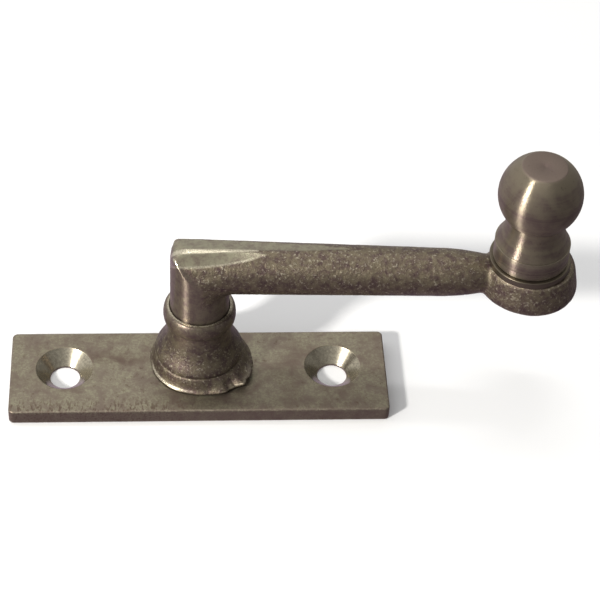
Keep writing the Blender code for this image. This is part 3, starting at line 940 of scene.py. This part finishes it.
def eye_boss(sizes):
    """The eye on the arm's line, stretched towards the arm."""
    axis = Vector((KNOB_REACH + EYE_SHIFT, 0.0, 0.0))
    boss = turned_mesh("eye", eye_outline(sizes), False, axis, RING_POINTS, None)
    points = places(boss)
    inward = points[:, 0] - axis.x
    points[:, 0] += EYE_STRETCH * inward * smoothstep(0.0, -sizes.eye, inward)
    place_points(boss, points)
    return add_object("eye", boss)


def join_crank(sizes):
    """Join the arm and the eye under one even skin."""
    blank = add_object("crank", skin_rings(file_elbow(crank_rings(sizes), sizes)))
    eye = eye_boss(sizes)
    modify(blank, "eye", "BOOLEAN", operation="UNION", solver="EXACT", object=eye)
    modify(blank, "forging", "REMESH", mode="VOXEL", voxel_size=sizes.voxel)
    mesh = read_result(blank)
    bpy.data.objects.remove(eye)
    return mesh


def smooth_junction(mesh):
    """Smooth the mesh where the arm runs into the eye, and return its points."""
    points = places(mesh)
    x, z = points[:, 0], points[:, 2]
    first, second = edge_ends(mesh)
    count = np.bincount(np.concatenate((first, second)), minlength=len(points))[:, None]
    blend = smoothstep(48.5 * MM, 50.5 * MM, x) * smoothstep(55.5 * MM, 53.5 * MM, x)
    blend = (blend * smoothstep(EYE_TOP + 0.2 * MM, EYE_TOP - 0.6 * MM, z))[:, None]
    for _ in range(FILLET_ROUNDS):
        near = np.zeros_like(points)
        np.add.at(near, first, points[second])
        np.add.at(near, second, points[first])
        points += (near / count - points) * blend
    place_points(mesh, points)
    mesh.update()
    return points


def mark_crank(mesh, points):
    """Mark the filed and the turned faces, and return the painted highlights on the flats' ridge and on the
    front flat's lip.
    """
    x, above = points[:, 0], points[:, 2] - ARM_HEIGHT
    journal = smoothstep(-4.2 * MM, -5.6 * MM, above - np.maximum(x - 2.0 * MM, 0.0))
    journal *= smoothstep(7.0 * MM, 6.0 * MM, x)
    front_face = smoothstep(0.6 * MM, -0.4 * MM, x + above)
    journal = np.maximum(journal, front_face * smoothstep(1.0 * MM, 0.0, x))
    lean = np.arctan2(-points[:, 1], above)
    filed, ridge_highlight, lip = np.zeros((3, len(points)))
    for number, flat in enumerate(FLATS):
        turn, half = flat_at(flat, x)
        near = smoothstep(half + 0.05, half - 0.03, np.abs(lean - turn)) * (half > 0.02) * (above > 0.0)
        filed = np.maximum(filed, near)
        if number == RIDGE_FLAT:
            ridge_highlight = near
        # The lip: a painted highlight along the lower edge of the front flat near the elbow
        if number == FRONT_FLAT:
            off_edge = np.abs(lean - turn - half)
            lip = smoothstep(0.07, 0.02, off_edge) * (half > 0.1) * (x < 9.5 * MM)
    add_attribute(mesh, "filed", filed)
    add_attribute(mesh, "turned", journal)
    add_attribute(mesh, "smooth", np.maximum(filed, journal) * 0.92)
    return np.maximum(ridge_highlight, lip * 0.55)


class FASTENER_OT_arm(bpy.types.Operator):
    """Forge the crank arm: spindle, mitred elbow with filed flats, tapering arm and eye"""
    bl_idname = "fastener.arm"
    bl_label = "Crank arm"

    def execute(self, context):
        sizes, finishes = settings(context)
        mesh = join_crank(sizes)
        points = smooth_junction(mesh)
        wear_and_painted_light = mark_crank(mesh, points)
        steel = forged_steel(finishes, "arm_steel", ARM_ANGLE)
        mesh = run_tree("arm", mesh, skin_tree(), lump_size=3.0 * MM, lump_depth=sizes.lump_depth,
                        pit_size=0.85 * MM, pit_depth=sizes.pit_depth, seed=1.0, finish=steel)
        near_elbow = np.where(points[:, 0] < 12.0 * MM, 1.0, 0.3)
        # Rubbed ridges, with the painted highlights of the flats, mostly near the elbow
        add_attribute(mesh, "wear_and_painted_light", np.maximum(ridges(mesh, 0.05, 0.16), wear_and_painted_light) * near_elbow)
        mesh.shade_smooth()
        mesh.transform(Matrix.Translation(PIVOT) @ Matrix.Rotation(ARM_ANGLE, 4, "Z"))
        keep("forged_crank", mesh, "crank_arm", "crank")
        return {"FINISHED"}


# ---------------------------------------------------------------- knob and washers

class FASTENER_OT_knob(bpy.types.Operator):
    """Turn the ball knob with its foot, neck and riveted tail"""
    bl_idname = "fastener.knob"
    bl_label = "Ball knob"

    def execute(self, context):
        sizes, finishes = settings(context)
        foot_low = SEAT_HIGH.z + 0.02 * MM
        foot_top = KNOB_HIGH.z - 17.13 * MM
        neck_height = KNOB_HIGH.z - 12.49 * MM
        ball_height = KNOB_HIGH.z - 6.24 * MM
        tail, head = 2.5 * MM, 3.4 * MM
        low = KNOB_LOW.z - 0.2 * MM
        outline = [(0.0, low), (head - 0.6 * MM, low + 0.02 * MM), (head, low + 0.25 * MM),
                   (head - 0.1 * MM, low + 0.6 * MM), (tail, low + 1.2 * MM), (tail, foot_low),
                   (sizes.foot - 0.25 * MM, foot_low)]
        outline += arc((sizes.foot - 0.25 * MM, foot_low + 0.25 * MM), 0.25 * MM, -80.0, 0.0, 4)
        outline += [(sizes.foot, foot_low + 1.1 * MM), (sizes.foot - 0.06 * MM, foot_low + 1.25 * MM),
                    (sizes.foot, foot_low + 1.4 * MM)]
        outline += arc((sizes.foot - 0.10 * MM, foot_top - 0.10 * MM), 0.10 * MM, 0.0, 80.0, 4)
        flank = foot_top + 0.16 * MM
        wide = sizes.foot - 0.20 * MM
        outline += [(wide, foot_top + 0.01 * MM), (wide, foot_top + 0.08 * MM)]
        for step in range(CURVE_STEPS + 1):
            part = step / CURVE_STEPS
            outline.append((sizes.neck + (wide - sizes.neck) * (1.0 - part) ** 1.6,
                            flank + (neck_height - flank) * part))
        start = -math.degrees(math.acos(sizes.neck / sizes.ball))
        top = KNOB_HIGH.z + 0.14 * MM
        rise = top - ball_height
        end = math.degrees(math.asin((rise - 0.06 * MM) / sizes.ball))
        outline += arc((0.0, ball_height), sizes.ball, start, end, 56)
        flat = outline[-1][0]
        outline += [(flat - 0.08 * MM, top - 0.02 * MM), (flat - 0.18 * MM, top)]
        outline += [(0.55 * MM, top), (0.35 * MM, top - 0.05 * MM), (0.0, top - 0.08 * MM)]
        steel = turned_steel(finishes, "knob_steel", KNOB_AXIS, 1.0, faced=True)
        mesh = turned_mesh("knob", outline, False, KNOB_AXIS, sizes.sides, steel)
        x, y, z = places(mesh).T
        radius, upper = np.hypot(x - KNOB_AXIS.x, y - KNOB_AXIS.y), z > ball_height
        edge = smoothstep(0.30 * MM, 0.05 * MM, np.abs(radius - flat + 0.05 * MM)) * upper
        foot_edge = smoothstep(0.25 * MM, 0.05 * MM, np.abs(z - foot_top))
        foot_edge *= radius > sizes.foot - 0.3 * MM
        add_attribute(mesh, "wear_and_painted_light", np.maximum(edge * 0.12, foot_edge * 0.10))
        add_attribute(mesh, "face", smoothstep(flat + 0.3 * MM, flat - 0.1 * MM, radius) * upper)
        keep("turned_knob", mesh, "ball_knob", "crank")
        return {"FINISHED"}


class FASTENER_OT_washers(bpy.types.Operator):
    """Turn the seat washer, and finish the two washers under the plate"""
    bl_idname = "fastener.washers"
    bl_label = "Washers"

    def execute(self, context):
        sizes, finishes = settings(context)
        radius = (SEAT_HIGH.x - SEAT_LOW.x) / 2
        low, top, inner = SEAT_LOW.z - 0.1 * MM, SEAT_HIGH.z - 0.02 * MM, 2.8 * MM
        outline = soften([(inner, low), (radius, low), (radius, top), (inner, top)], True, 0.25 * MM, 8)
        steel = turned_steel(finishes, "washer_steel", KNOB_AXIS, 0.3, 0.60)
        mesh = turned_mesh("seat", outline, True, KNOB_AXIS, sizes.sides, steel)
        add_attribute(mesh, "wear_and_painted_light", np.zeros(len(mesh.vertices)))
        keep("seat_ring", mesh, "seat_washer", "crank")
        below = turned_steel(finishes, "hidden_washer_steel", PIVOT, 0.3, 1.1)
        for name in ("spring_washer", "rivet_washer"):
            slots = frame["nodes"][name].material_slots
            slots[0].material = below
        return {"FINISHED"}


# ---------------------------------------------------------------- stage

LIGHT_DISTANCE = 0.7
FLOOR_HALF, FLOOR_DROP = 3.0, -0.01 * MM


def soft_light(name, direction, size, watts, tint=(1.0, 1.0, 1.0)):
    """A rectangular lamp that shines on the fastener from a direction."""
    target = Vector((0.0, 0.0, 20.0 * MM))
    lamp = bpy.data.lights.new(name, "AREA")
    lamp.shape = "RECTANGLE"
    lamp.size, lamp.size_y = size
    lamp.energy = watts
    lamp.color = tint
    thing = add_object(name, lamp)
    thing.location = target + Vector(direction) * LIGHT_DISTANCE
    thing.rotation_euler = (target - thing.location).to_track_quat("-Z", "Y").to_euler()


def add_camera():
    """Look down on the plate from the front, a little from the left, the camera slightly rolled."""
    target = PIVOT + Vector((19.79 * MM, 15.39 * MM, PLATE_TOP))
    distance = 395.5 * MM
    elevation, swing, roll = math.radians(45.17), math.radians(-5.48), math.radians(3.53)
    forward = Vector((-math.sin(swing) * math.cos(elevation), math.cos(swing) * math.cos(elevation),
                      -math.sin(elevation)))
    right = Vector((math.cos(swing), math.sin(swing), 0.0))
    up = right.cross(forward)
    across = right * math.cos(roll) + up * math.sin(roll)
    over = up * math.cos(roll) - right * math.sin(roll)
    lens = bpy.data.cameras.new("camera")
    lens.sensor_width = 36.0
    lens.lens = 122.6
    lens.clip_start = 0.01
    camera = add_object("camera", lens)
    camera.matrix_world = Matrix((across, over, -forward)).transposed().to_4x4()
    camera.location = target - forward * distance
    bpy.context.scene.camera = camera


def studio_world():
    """Soft room: lighter above and behind, darker low down and to the right."""
    world = bpy.data.worlds.new("studio")
    world.use_nodes = True
    tree = world.node_tree
    x, y, z = split(pick(tree, "ShaderNodeTexCoord", output="Generated"))
    height = z.remap(-0.6, 0.9, 0.42, 0.87) + z.remap(-0.75, -1.0, 0.0, 0.10)
    side = x.remap(-0.9, 0.9, 1.30, 0.46)
    depth = y.remap(-0.9, 0.9, 0.78, 1.15) + y.remap(0.76, 0.98, 0.0, 0.45)
    tint = mix_colour(z.remap(-0.7, 0.0), (1.0, 0.76, 1.0), (1.0, 1.0, 1.0))
    link(tree.nodes["Background"], {"Color": tint, "Strength": height * side * depth})
    bpy.context.scene.world = world


class FASTENER_OT_stage(bpy.types.Operator):
    """Set the pale floor, the soft lights and the camera"""
    bl_idname = "fastener.stage"
    bl_label = "Stage"

    def execute(self, context):
        mesh = bpy.data.meshes.new("floor")
        corners = ((-1, -1), (1, -1), (1, 1), (-1, 1))
        mesh.from_pydata([(x * FLOOR_HALF, y * FLOOR_HALF, FLOOR_DROP) for x, y in corners], [],
                         [(0, 1, 2, 3)])
        paper = bpy.data.materials.new("paper")
        paper.use_nodes = True
        shader = paper.node_tree.nodes["Principled BSDF"]
        link(shader, {"Base Color": (0.82, 0.82, 0.82, 1.0), "Roughness": 0.9})
        mesh.materials.append(paper)
        floor = add_object("floor", mesh)
        floor.visible_glossy = False
        studio_world()
        soft_light("key", (-0.688, -0.515, 0.515), (0.06, 0.06), 5.5, (1.0, 0.98, 0.94))
        soft_light("overhead", (0.05, 0.27, 0.96), (0.30, 0.05), 0.75)
        add_camera()
        context.scene.view_settings.view_transform = "Standard"
        return {"FINISHED"}


# ---------------------------------------------------------------- panel and registration

OPERATORS = (FASTENER_OT_stage, FASTENER_OT_plate, FASTENER_OT_post, FASTENER_OT_collar, FASTENER_OT_arm,
             FASTENER_OT_washers, FASTENER_OT_knob)


class FASTENER_PT_pieces(bpy.types.Panel):
    """Lists the fastener's pieces, sizes and colours"""
    bl_idname = "FASTENER_PT_pieces"
    bl_label = "Casement fastener"
    bl_space_type = "VIEW_3D"
    bl_region_type = "UI"
    bl_category = "Fastener"

    def draw(self, context):
        for operator in OPERATORS:
            self.layout.operator(operator.bl_idname)
        for group in (context.scene.fastener_sizes, context.scene.fastener_finishes):
            box = self.layout.box()
            for name in group.__annotations__:
                box.prop(group, name)


CLASSES = (FastenerSizes, FastenerFinishes) + OPERATORS + (FASTENER_PT_pieces,)


def register():
    for item in CLASSES:
        bpy.utils.register_class(item)
    bpy.types.Scene.fastener_sizes = PointerProperty(type=FastenerSizes)
    bpy.types.Scene.fastener_finishes = PointerProperty(type=FastenerFinishes)


def unregister():
    del bpy.types.Scene.fastener_finishes
    del bpy.types.Scene.fastener_sizes
    for item in reversed(CLASSES):
        bpy.utils.unregister_class(item)


def main():
    register()
    bpy.ops.fastener.stage()
    bpy.ops.fastener.plate()
    bpy.ops.fastener.post()
    bpy.ops.fastener.collar()
    bpy.ops.fastener.arm()
    bpy.ops.fastener.washers()
    bpy.ops.fastener.knob()


if __name__ == "__main__":
    main()
